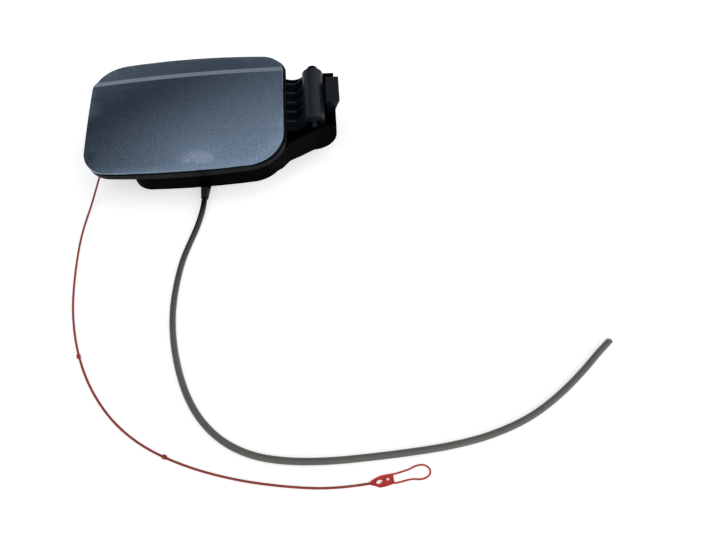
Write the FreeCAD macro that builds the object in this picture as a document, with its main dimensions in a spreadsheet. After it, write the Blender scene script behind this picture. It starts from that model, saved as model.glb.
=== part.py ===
import FreeCAD, Part
import math
import os
import Sketcher

# Fuel filler flap: painted flap on a gooseneck hinge, over a moulded filler pot with its
# neck collar, drain hose, lock actuator and red emergency release cord.
# Row frame: origin at the centre of the neck opening on the pot's base, Z up, X towards the hinge.
# The flap has a frame of its own (x along the flap, y up its face, z out of its face),
# because its face leans towards the drain side of the pot.

V = FreeCAD.Vector
doc = FreeCAD.newDocument("FuelFillerFlap")
sheet = doc.addObject("Spreadsheet::Sheet", "Sizes")

SIZES = [
    ("face_tilt", 13, "lean of the flap's face, degrees"),
    ("face_x", -15, "face centre, to the side of the neck"),
    ("face_y", -17, "face centre, in front of the neck"),
    ("face_z", 62, "face centre above the base"),
    ("flap_width", 210, "flap, left edge to right edge"),
    ("flap_low", -66.6, "lowest point of the flap's bottom edge"),
    ("flap_high", 89, "highest point of the flap's top edge"),
    ("low_bow", 800, "radius of the bottom edge"),
    ("low_bow_x", -20, "where the bottom edge is lowest"),
    ("top_bow", 1400, "radius of the top edge"),
    ("top_bow_x", 70, "where the top edge is highest"),
    ("corner_a", 28, "flap corner radius, low left"),
    ("corner_b", 42, "flap corner radius, low right"),
    ("corner_c", 23, "flap corner radius, top right"),
    ("corner_d", 50, "flap corner radius, top left"),
    ("skin", 2.5, "thickness of the painted skin"),
    ("skin_round", 0.8, "rounding of the skin's outer edge"),
    ("crown_x", 1500, "crown radius along the flap"),
    ("crown_y", 900, "crown radius up the flap"),
    ("crease", 56.5, "height of the crease at the flap's middle"),
    ("crease_rise", 0.064, "slope of the crease along the flap"),
    ("strip", 8.5, "width of the folded strip above the crease"),
    ("strip_angle", 22, "fall of the folded strip, degrees"),
    ("top_angle", 6, "fall of the area above the strip, degrees"),
    ("carrier_inset", 0.8, "carrier edge inside the skin's edge"),
    ("carrier_right", 3, "carrier lip beyond the skin on the hinge side"),
    ("carrier_low", 1.2, "carrier lip beyond the skin's bottom edge"),
    ("carrier_wall", 2.5, "carrier wall and floor"),
    ("carrier_depth", 13, "carrier underside below the face"),
    ("carrier_rib", 1.6, "carrier rib thickness"),
    ("rib_pitch", 34, "spacing of the carrier ribs"),
    ("pot_inset", 5, "pot rim inside the flap's top edge"),
    ("pot_low_inset", 9, "pot rim inside the flap's bottom edge"),
    ("pot_left", -66, "pot rim, left side"),
    ("pot_right", 100, "pot rim, right side"),
    ("pot_corner_a", 22, "pot corner radius, low left"),
    ("pot_corner_b", 37, "pot corner radius, low right"),
    ("pot_corner_c", 21, "pot corner radius, top right"),
    ("pot_corner_d", 25, "pot corner radius, top left"),
    ("pot_wall", 2.5, "wall and floor of the pot"),
    ("pot_draft", 9, "draft of the pocket's slanting front, degrees"),
    ("rim_depth", 16, "top of the pot's rim below the face"),
    ("rim_height", 2.5, "thickness of the rim flange"),
    ("rim_width", 3, "rim flange beyond the wall"),
    ("seal_gap", 0.3, "clearance of a closed piece over its seat"),
    ("seal_width", 3.6, "width of the rim seal"),
    ("pocket_front", -8, "hinge pocket, front wall"),
    ("pocket_back", 66, "hinge pocket, back wall"),
    ("pocket_right", 162, "hinge pocket, right wall"),
    ("pocket_depth", 60, "hinge pocket floor below the face"),
    ("pocket_round", 30, "round under the pocket's right wall"),
    ("pivot_x", 138, "hinge axis, along the flap"),
    ("pivot_depth", 13, "hinge axis below the face"),
    ("barrel", 12, "radius of the hinge barrel"),
    ("barrel_front", -3.5, "front end of the barrel"),
    ("barrel_back", 61.5, "back end of the barrel"),
    ("pin", 3, "hinge pin radius"),
    ("pin_front", -10, "front end of the pin"),
    ("pin_bore", 1.6, "hole in the pin's front end"),
    ("pin_bore_depth", 8, "depth of that hole"),
    ("running_gap", 0.05, "running clearance of pins and plungers, on the radius"),
    ("ear", 8, "radius of the ears that hold the pin"),
    ("ear_horn", 2.2, "front ear's horns above the pin's axis"),
    ("nub", 4, "back ear's boss beyond the pocket's back wall"),
    ("nub_radius", 5.8, "radius of that boss"),
    ("back_notch", 15, "radius of the hollow in the pocket's back wall"),
    ("back_notch_depth", 10, "centre of that hollow below the face"),
    ("bush", 4.6, "bush outer radius"),
    ("bush_length", 11, "bush length in the barrel"),
    ("bush_flange", 7, "bush flange radius"),
    ("bush_flange_height", 1.5, "bush flange thickness"),
    ("detent_front", 13.5, "front end of the detent housing"),
    ("detent_back", 47.5, "back end of the detent housing"),
    ("detent_left", 152.5, "face of the detent housing beside the barrel"),
    ("detent_right", 167, "outer face of the detent housing"),
    ("detent_top", 1, "top of the detent housing below the face"),
    ("detent_wall", 2, "wall of the detent housing"),
    ("leaf", 0.8, "thickness of the detent spring"),
    ("leaf_bow", 5.1, "outer radius of the detent spring's bow"),
    ("arm", 3, "thickness of the gooseneck arm"),
    ("arm_end", 55, "end of the arm's plate under the flap"),
    ("arm_front", -2, "front edge of the arm"),
    ("arm_back", 58, "back edge of the arm"),
    ("neck_x", 113.5, "centre of the gooseneck's bend"),
    ("neck_depth", 16.5, "centre of the bend below the face"),
    ("neck_bend", 12, "inner radius of the gooseneck's bend"),
    ("arm_rib", 1.8, "thickness of the arm's ribs"),
    ("arm_rib_height", 10.5, "height of the arm's ribs over the bend"),
    ("arm_rib_top", 10.5, "top of the arm's ribs beside the barrel, below the face"),
    ("arm_rib_pitch", 13, "spacing of the arm's ribs"),
    ("arm_ribs", 5, "ribs on the arm"),
    ("screw", 2, "radius of the flap's screws"),
    ("screw_head", 3.6, "radius of a screw head"),
    ("screw_head_height", 2.2, "height of a screw head"),
    ("neck_bore", 26, "bore of the neck collar"),
    ("neck_hole", 31, "hole in the pot's floor"),
    ("neck_step", 6, "how far the floor is raised round the hole"),
    ("neck_step_radius", 41.5, "radius of the raised floor"),
    ("collar_lip", 36, "outer radius of the collar's lips"),
    ("collar_lip_height", 2.4, "thickness of those lips"),
    ("collar_top", 22, "top of the neck collar"),
    ("collar_wall", 4, "wall of the neck collar"),
    ("drain_x", 0, "drain spout, to the side of the neck"),
    ("drain_z", 6, "drain spout above the base"),
    ("drain_root", -61.2, "root of the drain spout"),
    ("drain_seat", -72, "shoulder that the sleeve stands on"),
    ("drain_tip", -82, "tip of the drain spout"),
    ("sleeve_tip", -84, "end of the spout's rubber sleeve"),
    ("hose_start", -76, "end of the hose on the spout"),
    ("hose", 3, "hose outer radius"),
    ("hose_bore", 2, "hose bore radius"),
    ("drain_bore", 1.4, "bore of the drain spout"),
    ("lock_v", 0, "lock axis up the face"),
    ("lock_depth", 31, "lock axis below the face"),
    ("lock_pin", 3, "lock pin radius"),
    ("lock_left", -101, "left face of the lock housing"),
    ("lock_right", -68, "face of the lock housing on the pot"),
    ("lock_half", 22, "half the length of the lock housing"),
    ("lock_height", 24, "height of the lock housing"),
    ("lock_wall", 2, "wall of the lock housing"),
    ("lock_travel", 8, "travel of the lock pin"),
    ("striker_x", -57, "face of the striker towards the lock"),
    ("striker", 3, "thickness of the striker"),
    ("striker_half", 9, "half the width of the striker"),
    ("striker_foot", 19, "length of the striker's foot under the carrier"),
    ("striker_reach", 7, "how far the striker goes past the lock's axis"),
    ("plunger", 3.5, "radius of the kick-out plunger"),
    ("plunger_x", -52.5, "plunger axis along the flap"),
    ("plunger_y", 30, "plunger axis up the face"),
    ("plunger_half", 6, "half the width of the plunger's case"),
    ("plunger_depth", 40, "underside of the plunger's case below the face"),
    ("cord", 1, "release cord radius"),
    ("nipple_x", -95, "cord nipple along the flap"),
    ("nipple", 8, "length of the cord nipple"),
]


class Size:
    """A size as its number now and as the expression that ties it to the sheet."""

    def __init__(self, value, text):
        self.value = float(value)
        self.text = text

    def joined(self, other, sign, value):
        return Size(value, "(" + self.text + sign + size(other).text + ")")

    def __add__(self, other):
        return self.joined(other, " + ", self.value + size(other).value)

    def __sub__(self, other):
        return self.joined(other, " - ", self.value - size(other).value)

    def __mul__(self, other):
        return self.joined(other, " * ", self.value * size(other).value)

    def __truediv__(self, other):
        return self.joined(other, " / ", self.value / size(other).value)

    def __radd__(self, other):
        return size(other) + self

    def __rsub__(self, other):
        return size(other) - self

    def __rmul__(self, other):
        return size(other) * self

    def __neg__(self):
        return self * -1


def size(number):
    return number if isinstance(number, Size) else Size(number, repr(float(number)))


def root(number):
    return Size(math.sqrt(number.value), "sqrt(" + number.text + ")")


def tangent(angle):
    return Size(math.tan(math.radians(angle.value)), "tan(" + angle.text + ")")


def cosine(angle):
    return Size(math.cos(math.radians(angle.value)), "cos(" + angle.text + ")")


class Named:
    """The sheet's sizes by name, such as S.flap_width."""


S = Named()
for row, (alias, value, meaning) in enumerate(SIZES, start=1):
    sheet.set("A%d" % row, str(value))
    sheet.set("B%d" % row, meaning)
    sheet.setAlias("A%d" % row, alias)
    setattr(S, alias, Size(value, "Sizes." + alias))
doc.recompute()

FACE = ("placement(vector(Sizes.face_x; Sizes.face_y; Sizes.face_z); "
        "rotation(vector(1; 0; 0); Sizes.face_tilt))")
TURNS = {"x": "rotation(vector(0; 1; 0); 90)", "y": "rotation(vector(1; 0; 0); -90)",
         "z": "rotation(vector(0; 0; 1); 0)"}


# Sketch profiles: a closed list of corners, each with the edge that leaves it.
def line(x, y):
    return (size(x), size(y), None, 0)


def arc(x, y, radius, turn=1):
    """A corner whose next edge is an arc, anticlockwise for turn 1 and clockwise for -1."""
    return (size(x), size(y), size(radius), turn)


def rectangle(x0, y0, x1, y1):
    return [line(x0, y0), line(x1, y0), line(x1, y1), line(x0, y1)]


def circle(x, y, radius):
    return (size(x), size(y), size(radius))


def pin_down(sk, index, point, x, y):
    """Place one point of a sketch edge by two distances from the sketch's origin."""
    for kind, value in (("DistanceX", x), ("DistanceY", y)):
        place = sk.addConstraint(Sketcher.Constraint(kind, -1, 1, index, point, value.value))
        tie(sk, place, value)


def tie(sk, constraint, value):
    name = "c%d" % constraint
    sk.renameConstraint(constraint, name)
    sk.setExpression("Constraints." + name, value.text)


def draw(sk, profile):
    if isinstance(profile, tuple):
        x, y, radius = profile
        index = sk.addGeometry(Part.Circle(V(x.value, y.value, 0), V(0, 0, 1), radius.value))
        pin_down(sk, index, 3, x, y)
        tie(sk, sk.addConstraint(Sketcher.Constraint("Radius", index, radius.value)), radius)
        return
    ends = []
    for here, there in zip(profile, profile[1:] + profile[:1]):
        x, y, radius, turn = here
        a = V(x.value, y.value, 0)
        b = V(there[0].value, there[1].value, 0)
        if radius is None:
            index = sk.addGeometry(Part.LineSegment(a, b))
            ends.append((index, 1, 2))
        else:
            chord = b - a
            rise = math.sqrt(max(radius.value ** 2 - chord.Length ** 2 / 4, 0))
            centre = a + chord / 2 + V(-chord.y, chord.x, 0).normalize() * rise * turn
            start, end = (a, b) if turn > 0 else (b, a)
            angles = [math.atan2(p.y - centre.y, p.x - centre.x) for p in (start, end)]
            round_edge = Part.Circle(centre, V(0, 0, 1), radius.value)
            index = sk.addGeometry(Part.ArcOfCircle(round_edge, *angles))
            ends.append((index, 1, 2) if turn > 0 else (index, 2, 1))
    for (index, start, end), (after, first, last), corner in zip(ends, ends[1:] + ends[:1], profile):
        pin_down(sk, index, start, corner[0], corner[1])
        sk.addConstraint(Sketcher.Constraint("Coincident", index, end, after, first))
        if corner[2] is not None:
            tie(sk, sk.addConstraint(Sketcher.Constraint("Radius", index, corner[2].value)), corner[2])


def body(name, frame=FACE):
    new = doc.addObject("PartDesign::Body", name)
    new.AllowCompound = True
    if frame:
        new.setExpression("Placement", frame)
    return new


def sketch(owner, name, plane, level, profiles):
    sk = owner.newObject("Sketcher::SketchObject", name)
    support = [f for f in owner.Origin.OriginFeatures if f.Role == plane + "_Plane"][0]
    sk.AttachmentSupport = [(support, "")]
    sk.MapMode = "FlatFace"
    raised = -size(level) if plane == "XZ" else size(level)
    sk.AttachmentOffset = FreeCAD.Placement(V(0, 0, raised.value), FreeCAD.Rotation())
    sk.setExpression("AttachmentOffset.Base.z", raised.text)
    for profile in profiles:
        draw(sk, profile)
    return sk


def prism(owner, name, plane, low, high, *profiles, cut=False, draft=None):
    """Pad or pocket of a sketch between two levels, low to high, along the plane's own axis.

    With a draft, in degrees, the sketch lies at the high level and its walls lean in below it.
    """
    sk = sketch(owner, name + "Sketch", plane, low if draft is None else high, profiles)
    feature = owner.newObject("PartDesign::Pocket" if cut else "PartDesign::Pad", name)
    feature.Profile = sk
    feature.setExpression("Length", (size(high) - size(low)).text)
    feature.Reversed = (plane == "XZ") != cut
    if draft is not None:
        feature.Reversed = not feature.Reversed
        feature.setExpression("TaperAngle", (-draft).text)
    return feature


def turned(owner, name, profile):
    """Full revolution of a profile, drawn as radius and height, about the body's Z axis."""
    sk = sketch(owner, name + "Sketch", "XZ", 0, [profile])
    feature = owner.newObject("PartDesign::Revolution", name)
    feature.Profile = sk
    feature.ReferenceAxis = (sk, ["V_Axis"])
    feature.Angle = 360
    return feature


def rounded(owner, name, radius, chosen):
    """Fillet of the edges of a body that a test picks out."""
    doc.recompute()
    shape = owner.Tip.Shape
    edges = ["Edge%d" % (i + 1) for i, edge in enumerate(shape.Edges) if chosen(edge, shape)]
    feature = owner.newObject("PartDesign::Fillet", name)
    feature.Base = (owner.Group[-2] if owner.Tip is feature else owner.Tip, edges)
    feature.setExpression("Radius", radius.text)
    owner.Tip = feature
    return feature


def placed(feature, at, axis, frame):
    text = "placement(vector(%s; %s; %s); %s)" % (*[size(n).text for n in at], TURNS[axis])
    feature.setExpression("Placement", frame + " * " + text if frame else text)
    return feature


def rod(name, radius, at, length, axis="z", frame=FACE):
    feature = doc.addObject("Part::Cylinder", name)
    feature.setExpression("Radius", size(radius).text)
    feature.setExpression("Height", size(length).text)
    return placed(feature, at, axis, frame)


def cone(name, first, last, at, length, axis="z", frame=FACE):
    feature = doc.addObject("Part::Cone", name)
    feature.setExpression("Radius1", size(first).text)
    feature.setExpression("Radius2", size(last).text)
    feature.setExpression("Height", size(length).text)
    return placed(feature, at, axis, frame)


def block(name, low, high, frame=FACE):
    feature = doc.addObject("Part::Box", name)
    for side, a, b in zip(("Length", "Width", "Height"), low, high):
        feature.setExpression(side, (size(b) - size(a)).text)
    return placed(feature, low, "z", frame)


def joined(name, *pieces):
    feature = doc.addObject("Part::MultiFuse", name)
    feature.Shapes = list(pieces)
    return feature


def less(name, base, *tools):
    feature = doc.addObject("Part::Cut", name)
    feature.Base = base
    feature.Tool = tools[0] if len(tools) == 1 else joined(name + "Tools", *tools)
    return feature


# Flap: outline, crowned skin and the moulded carrier under it.
def outline(left, right, low_inset, top_inset, low_left, low_right, top_right, top_left):
    """Straight sides, bowed long edges and four corner arcs that run into them."""
    low_radius, top_radius = S.low_bow - low_inset, S.top_bow - top_inset
    low_y, top_y = S.flap_low + S.low_bow, S.flap_high - S.top_bow

    def corner(side, radius, bow, bow_x, bow_y, up):
        """Centre of a corner arc, and where that arc meets the bowed edge."""
        x = left + radius if side < 0 else right - radius
        rise = root((bow - radius) * (bow - radius) - (x - bow_x) * (x - bow_x))
        y = bow_y + rise * up
        share = bow / (bow - radius)
        return y, bow_x + (x - bow_x) * share, bow_y + (y - bow_y) * share

    a_y, a_meet_x, a_meet_y = corner(-1, low_left, low_radius, S.low_bow_x, low_y, -1)
    b_y, b_meet_x, b_meet_y = corner(1, low_right, low_radius, S.low_bow_x, low_y, -1)
    c_y, c_meet_x, c_meet_y = corner(1, top_right, top_radius, S.top_bow_x, top_y, 1)
    d_y, d_meet_x, d_meet_y = corner(-1, top_left, top_radius, S.top_bow_x, top_y, 1)
    return [arc(left, a_y, low_left), arc(a_meet_x, a_meet_y, low_radius),
            arc(b_meet_x, b_meet_y, low_right), line(right, b_y),
            arc(right, c_y, top_right), arc(c_meet_x, c_meet_y, top_radius),
            arc(d_meet_x, d_meet_y, top_left), line(left, d_y)]


def flap_outline(inset):
    half = S.flap_width / 2 - inset
    return outline(-half, half, size(inset), size(inset), S.corner_a - inset, S.corner_b - inset,
                   S.corner_c - inset, S.corner_d - inset)


def lip_outline():
    """The carrier's edge, which shows as a dark lip beside and below the painted skin."""
    left, right = S.carrier_inset - S.flap_width / 2, S.flap_width / 2 + S.carrier_right
    return outline(left, right, -S.carrier_low, S.carrier_inset, S.corner_a + S.carrier_low,
                   S.corner_b + S.carrier_low, S.corner_c - S.carrier_inset, S.corner_d - S.carrier_inset)


def pot_outline(inset):
    return outline(S.pot_left + inset, S.pot_right - inset, S.pot_low_inset + inset, S.pot_inset + inset,
                   S.pot_corner_a - inset, S.pot_corner_b - inset,
                   S.pot_corner_c - inset, S.pot_corner_d - inset)


EDGE_REACH = 12     # how far the crowned forms run past the flap's outline
TRIM_REACH = 40     # how far the outline's cut runs above and below the face


def crown_section(x, top, bottom):
    """Cross-section of the crowned face at x: main area, folded strip, area above the crease."""
    low, high = S.flap_low - EDGE_REACH, S.flap_high + EDGE_REACH
    fold = S.crease + S.crease_rise * x
    strip_end = fold + S.strip
    along = (S.crown_x - root(S.crown_x * S.crown_x - x * x))

    def main(y):
        return root(S.crown_y * S.crown_y - y * y) - S.crown_y - along

    strip_fall = main(fold) - S.strip * tangent(S.strip_angle)
    end_fall = strip_fall - (high - strip_end) * tangent(S.top_angle)
    under = [arc(low, main(low) + bottom, S.crown_y, -1), line(fold, main(fold) + bottom),
             line(strip_end, strip_fall + bottom), line(high, end_fall + bottom)]
    if top is None:
        level = size(TRIM_REACH)
        over = [line(high, level), line(strip_end, level), line(fold, level), line(low, level)]
    else:
        over = [line(high, end_fall + top), line(strip_end, strip_fall + top),
                arc(fold, main(fold) + top, S.crown_y, 1), line(low, main(low) + top)]
    return under + over


def crowned(owner, name, top, bottom):
    """Loft of the face's cross-sections along the flap."""
    reach = S.flap_width / 2 + EDGE_REACH
    sections = []
    for i, share in enumerate((-1, -0.5, 0, 0.5, 1)):
        x = reach * share
        profile = crown_section(x, top, bottom)
        sections.append(sketch(owner, "%s%d" % (name, i), "YZ", x, [profile]))
    loft = owner.newObject("PartDesign::AdditiveLoft", name)
    loft.Profile = sections[0]
    loft.Sections = sections[1:]
    return loft


FLAT_ENOUGH = 0.96  # the folded strip leans more than this, and its short ends stay sharp


def outer_edge(edge, shape):
    """True for the edges where the skin's face meets its outer edge."""
    faces = shape.ancestorsOfType(edge, Part.Face)
    tilts = []
    for face in faces:
        u, v = face.Surface.parameter(edge.CenterOfMass)
        tilts.append(face.normalAt(u, v).z)
    return len(tilts) == 2 and max(tilts) > FLAT_ENOUGH and min(map(abs, tilts)) < 0.2


def flap_skin():
    skin = body("SkinBody")
    crowned(skin, "Crown", size(0), -S.skin)
    frame = S.flap_width / 2 + 3 * EDGE_REACH
    prism(skin, "Outline", "XY", -TRIM_REACH, TRIM_REACH,
          rectangle(-frame, S.flap_low - 3 * EDGE_REACH, frame, S.flap_high + 3 * EDGE_REACH),
          flap_outline(0), cut=True)
    rounded(skin, "EdgeRound", S.skin_round, outer_edge)
    return skin


SCREW_SPOTS = [(64, 8), (64, 46), (86, 8), (86, 46)]
STRIKER_SCREW = (13, 5)     # from the striker's face and from the lock's axis
BOSS_WALL = 2.4
BOSS_HEIGHT = 5


def flap_screw_places():
    places = [(size(x), size(y)) for x, y in SCREW_SPOTS]
    return places + striker_screw_places()


def striker_screw_places():
    x, y = STRIKER_SCREW
    return [(S.striker_x + x, S.lock_v + y * side) for side in (-1, 1)]


def flap_carrier():
    tray = body("TrayBody")
    floor = -S.carrier_depth
    inner = S.carrier_inset + S.carrier_wall
    prism(tray, "Slab", "XY", floor, 4, lip_outline())
    prism(tray, "Hollow", "XY", floor + S.carrier_wall, 5, flap_outline(inner), cut=True)
    half = S.flap_width / 2 - S.carrier_wall
    low, high = S.flap_low + inner - 0.5, S.flap_high - inner + 0.5
    for i in range(-2, 3):
        x = S.rib_pitch * i
        prism(tray, "Upright%d" % (i + 3), "XY", floor + S.carrier_wall / 2, 3,
              rectangle(x - S.carrier_rib / 2, low + 4, x + S.carrier_rib / 2, high - 9))
    for i in range(-1, 2):
        y = S.rib_pitch * i
        prism(tray, "Level%d" % (i + 2), "XY", floor + S.carrier_wall / 2, 3,
              rectangle(-half, y - S.carrier_rib / 2, half, y + S.carrier_rib / 2))
    bosses = [circle(x, y, S.screw + BOSS_WALL) for x, y in flap_screw_places()]
    prism(tray, "Bosses", "XY", floor + S.carrier_wall / 2, floor + S.carrier_wall + BOSS_HEIGHT, *bosses)
    holes = [circle(x, y, S.screw) for x, y in flap_screw_places()]
    prism(tray, "BossHoles", "XY", floor - 1, floor + BOSS_HEIGHT, *holes, cut=True)
    above = body("AboveCarrier")
    crowned(above, "SkinSpace", None, -S.skin)
    return less("Carrier", tray, above)


# Hinge: gooseneck arm, bushes, pin and the detent beside the barrel.
def hinge_arm():
    arm = body("ArmBody")
    plate_top = -S.carrier_depth
    plate_low = plate_top - S.arm
    outer = S.neck_bend + S.arm
    left, right = S.neck_x - outer, S.neck_x + outer
    bend = -S.neck_depth
    mid = (S.arm_front + S.arm_back) / 2
    band = [line(S.arm_end, plate_low), line(left, plate_low), arc(left, bend, outer),
            arc(S.neck_x, bend - outer, outer), line(right, bend), line(right, -S.pivot_depth),
            line(right - S.arm, -S.pivot_depth), arc(right - S.arm, bend, S.neck_bend, -1),
            arc(S.neck_x, bend - S.neck_bend, S.neck_bend, -1), line(left + S.arm, bend),
            line(left + S.arm, plate_top), line(S.arm_end, plate_top)]
    prism(arm, "Gooseneck", "XZ", S.arm_front, S.arm_back, band)
    prism(arm, "Barrel", "XZ", S.barrel_front, S.barrel_back,
          circle(S.pivot_x, -S.pivot_depth, S.barrel))
    skin = S.arm / 2
    rib_low = bend - S.neck_bend + S.arm_rib_height
    for i in range(int(S.arm_ribs.value)):
        y = mid + S.arm_rib_pitch * (i - (S.arm_ribs.value - 1) / 2)
        rib = [line(left + skin, plate_low), arc(left + skin, bend, outer - skin),
               arc(S.neck_x, bend - outer + skin, outer - skin), line(right - skin, bend),
               line(right - skin, -S.arm_rib_top), line(right - S.arm, -S.arm_rib_top),
               line(S.neck_x + S.neck_bend / 3, rib_low), line(S.neck_x - S.neck_bend / 3, rib_low),
               line(left + S.arm, plate_low)]
        prism(arm, "Rib%d" % (i + 1), "XZ", y - S.arm_rib / 2, y + S.arm_rib / 2, rib)
    holes = [circle(x, y, S.screw) for x, y in SCREW_SPOTS]
    prism(arm, "ScrewHoles", "XY", plate_low - 1, plate_top + 1, *holes, cut=True)
    prism(arm, "PinPassage", "XZ", S.barrel_front - 1, S.barrel_back + 1,
          circle(S.pivot_x, -S.pivot_depth, S.bush), cut=True)
    return arm


def hinge_bushes():
    bushes = body("BushBody")
    bore = circle(S.pivot_x, -S.pivot_depth, S.pin + S.running_gap)
    for name, face, away in (("Front", S.barrel_front, 1), ("Back", S.barrel_back, -1)):
        sleeve_end = face + S.bush_length * away
        flange_end = face - S.bush_flange_height * away
        low, high = (face, sleeve_end) if away > 0 else (sleeve_end, face)
        prism(bushes, name + "Sleeve", "XZ", low, high, circle(S.pivot_x, -S.pivot_depth, S.bush), bore)
        low, high = (flange_end, face) if away > 0 else (face, flange_end)
        prism(bushes, name + "Flange", "XZ", low, high,
              circle(S.pivot_x, -S.pivot_depth, S.bush_flange), bore)
    return bushes


def hinge_pin():
    length = S.pocket_back - S.pin_front
    axis = (S.pivot_x, S.pin_front, -S.pivot_depth)
    return less("PinCut", rod("PinBar", S.pin, axis, length, "y"),
                rod("PinBore", S.pin_bore, axis, S.pin_bore_depth, "y"))


def flap_screws():
    pieces = []
    for i, (x, y) in enumerate(flap_screw_places()):
        seat = -S.carrier_depth - (S.arm if i < len(SCREW_SPOTS) else S.striker)
        pieces.append(rod("Shank%d" % i, S.screw, (x, y, seat), S.carrier_wall + BOSS_HEIGHT))
        pieces.append(rod("Head%d" % i, S.screw_head, (x, y, seat - S.screw_head_height),
                          S.screw_head_height))
    return joined("FlapScrews", *pieces)


def striker():
    low = -S.carrier_depth
    tip = -S.lock_depth - S.striker_reach
    bar = body("StrikerBody")
    foot_end = S.striker_x + S.striker_foot
    prism(bar, "Angle", "XZ", S.lock_v - S.striker_half, S.lock_v + S.striker_half,
          [line(S.striker_x, tip), line(S.striker_x + S.striker, tip),
           line(S.striker_x + S.striker, low - S.striker), line(foot_end, low - S.striker),
           line(foot_end, low), line(S.striker_x, low)])
    prism(bar, "LockHole", "YZ", S.striker_x - 1, S.striker_x + S.striker + 1,
          circle(S.lock_v, -S.lock_depth, S.lock_pin + 0.5), cut=True)
    holes = [circle(x, y, S.screw) for x, y in striker_screw_places()]
    prism(bar, "FootHoles", "XY", low - S.striker - 1, low + 1, *holes, cut=True)
    return bar


CAP_HOLDER = (4, 45)                # centre of the hook's foot
HOOK_FOOT, HOOK_FOOT_HEIGHT = 14, 2  # half length and thickness of the foot
HOOK_HALF, HOOK_DROP, HOOK_WALL = 7, 13, 3
HOOK_REACH = 10


def cap_holder():
    """Hook under the flap that takes the fuel cap while the tank is filled."""
    x, y = CAP_HOLDER
    low = -S.carrier_depth
    foot, tip = low - HOOK_FOOT_HEIGHT, low - HOOK_DROP
    stem = x - HOOK_FOOT_HEIGHT
    hook = body("HookBody")
    prism(hook, "Hook", "XZ", y - HOOK_HALF, y + HOOK_HALF,
          [line(x - HOOK_FOOT, foot), line(stem, foot), line(stem, tip), line(x + HOOK_REACH, tip),
           line(x + HOOK_REACH, tip + HOOK_WALL), line(stem + HOOK_WALL, tip + HOOK_WALL),
           line(stem + HOOK_WALL, foot), line(x + HOOK_FOOT, foot), line(x + HOOK_FOOT, low),
           line(x - HOOK_FOOT, low)])
    return hook


def detent_housing():
    """Block on the pocket's right wall that holds the bow spring against the barrel."""
    box = body("DetentBody")
    seat = -S.rim_depth
    wall_left = S.pocket_right - S.pot_wall
    low = seat - 5
    prism(box, "Block", "XZ", S.detent_front, S.detent_back,
          [line(S.detent_left, low), line(wall_left, low), line(wall_left, seat),
           line(S.pocket_right, seat), line(S.detent_right, -S.detent_top),
           line(S.detent_left, -S.detent_top)])
    prism(box, "SpringRoom", "XZ", S.detent_front + S.detent_wall, S.detent_back - S.detent_wall,
          rectangle(S.detent_left - 1, -S.pivot_depth - S.leaf_bow - S.leaf,
                    wall_left - S.leaf, -S.pivot_depth + S.leaf_bow + S.leaf), cut=True)
    return box


def detent_spring():
    spring = body("LeafBody")
    x = S.pivot_x + S.barrel + S.seal_gap + S.leaf_bow
    ends = S.pocket_right - S.pot_wall - S.leaf
    front = S.detent_front + S.detent_wall + S.seal_gap
    back = S.detent_back - S.detent_wall - S.seal_gap
    prism(spring, "Bow", "XZ", front, back, circle(x, -S.pivot_depth, S.leaf_bow),
          circle(x, -S.pivot_depth, S.leaf_bow - S.leaf))
    prism(spring, "BowEnds", "XZ", front - 1, back + 1,
          rectangle(ends, -S.pivot_depth - S.barrel, ends + S.barrel, -S.pivot_depth + S.barrel), cut=True)
    return spring


# Filler pot: tub and hinge pocket in one moulded wall, with rim, ears, neck step and spout.
FLARE = [(82, -52.5), (103, -38.5), (111.5, -28), (150, -8)]
POCKET_LEFT = 88    # where the pocket's form starts, inside the tub
POT_REACH = 80      # how far the tub is drawn down before its floor is cut
CUT_REACH = 220     # half the size of the cut that levels the floor


def flare(gap):
    """The slanting front of the pocket, moved square to its walls by gap."""
    normals = []
    for (x0, y0), (x1, y1) in zip(FLARE, FLARE[1:]):
        length = math.hypot(x1 - x0, y1 - y0)
        normals.append(((y0 - y1) / length, (x1 - x0) / length))
    shifts = [normals[0]]
    for (a, b), (c, d) in zip(normals, normals[1:]):
        share = 1 / (1 + a * c + b * d)
        shifts.append(((a + c) * share, (b + d) * share))
    shifts.append((0, 1))
    corners = [line(x + gap * dx, y + gap * dy) for (x, y), (dx, dy) in zip(FLARE, shifts)]
    middle = (S.pocket_front + S.pocket_back) / 2
    return corners + [line(FLARE[-1][0], middle), line(FLARE[0][0], middle)]


def pot_form(name, gap):
    """Outer form of the pot for no gap; with the wall as gap it is the space inside."""
    gap = size(gap)
    form = body(name)
    top = -S.rim_depth
    floor = -S.pocket_depth + gap
    right = S.pocket_right - gap
    bend = S.pocket_round - gap
    prism(form, name + "Tub", "XY", top - POT_REACH, top, pot_outline(gap))
    prism(form, name + "Pocket", "XZ", S.pocket_front + gap, S.pocket_back - gap,
          [line(POCKET_LEFT, floor), arc(right - bend, floor, bend), line(right, floor + bend),
           line(right, top), line(POCKET_LEFT, top)])
    prism(form, name + "Flare", "XY", floor, top, flare(gap), draft=S.pot_draft)
    level = -(S.face_z - gap) / cosine(S.face_tilt)
    fall = tangent(S.face_tilt) * CUT_REACH
    prism(form, name + "Base", "YZ", -CUT_REACH, CUT_REACH,
          [line(-CUT_REACH, -CUT_REACH), line(CUT_REACH, -CUT_REACH),
           line(CUT_REACH, level - fall), line(-CUT_REACH, level + fall)], cut=True)
    return form


LOCK_PAD = 20       # half the length of the pad that carries the lock
PAD_DEPTH = 8       # how far that pad reaches behind the wall's face before the tub is hollowed
EAR_FOOT = 4        # how far the ears' feet reach below the rim's top
PLUNGER_PAD = 4     # half the width of the web that carries the plunger's case
SPOUT_ROOT, SPOUT_SHOULDER = 5.9, 5


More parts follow.
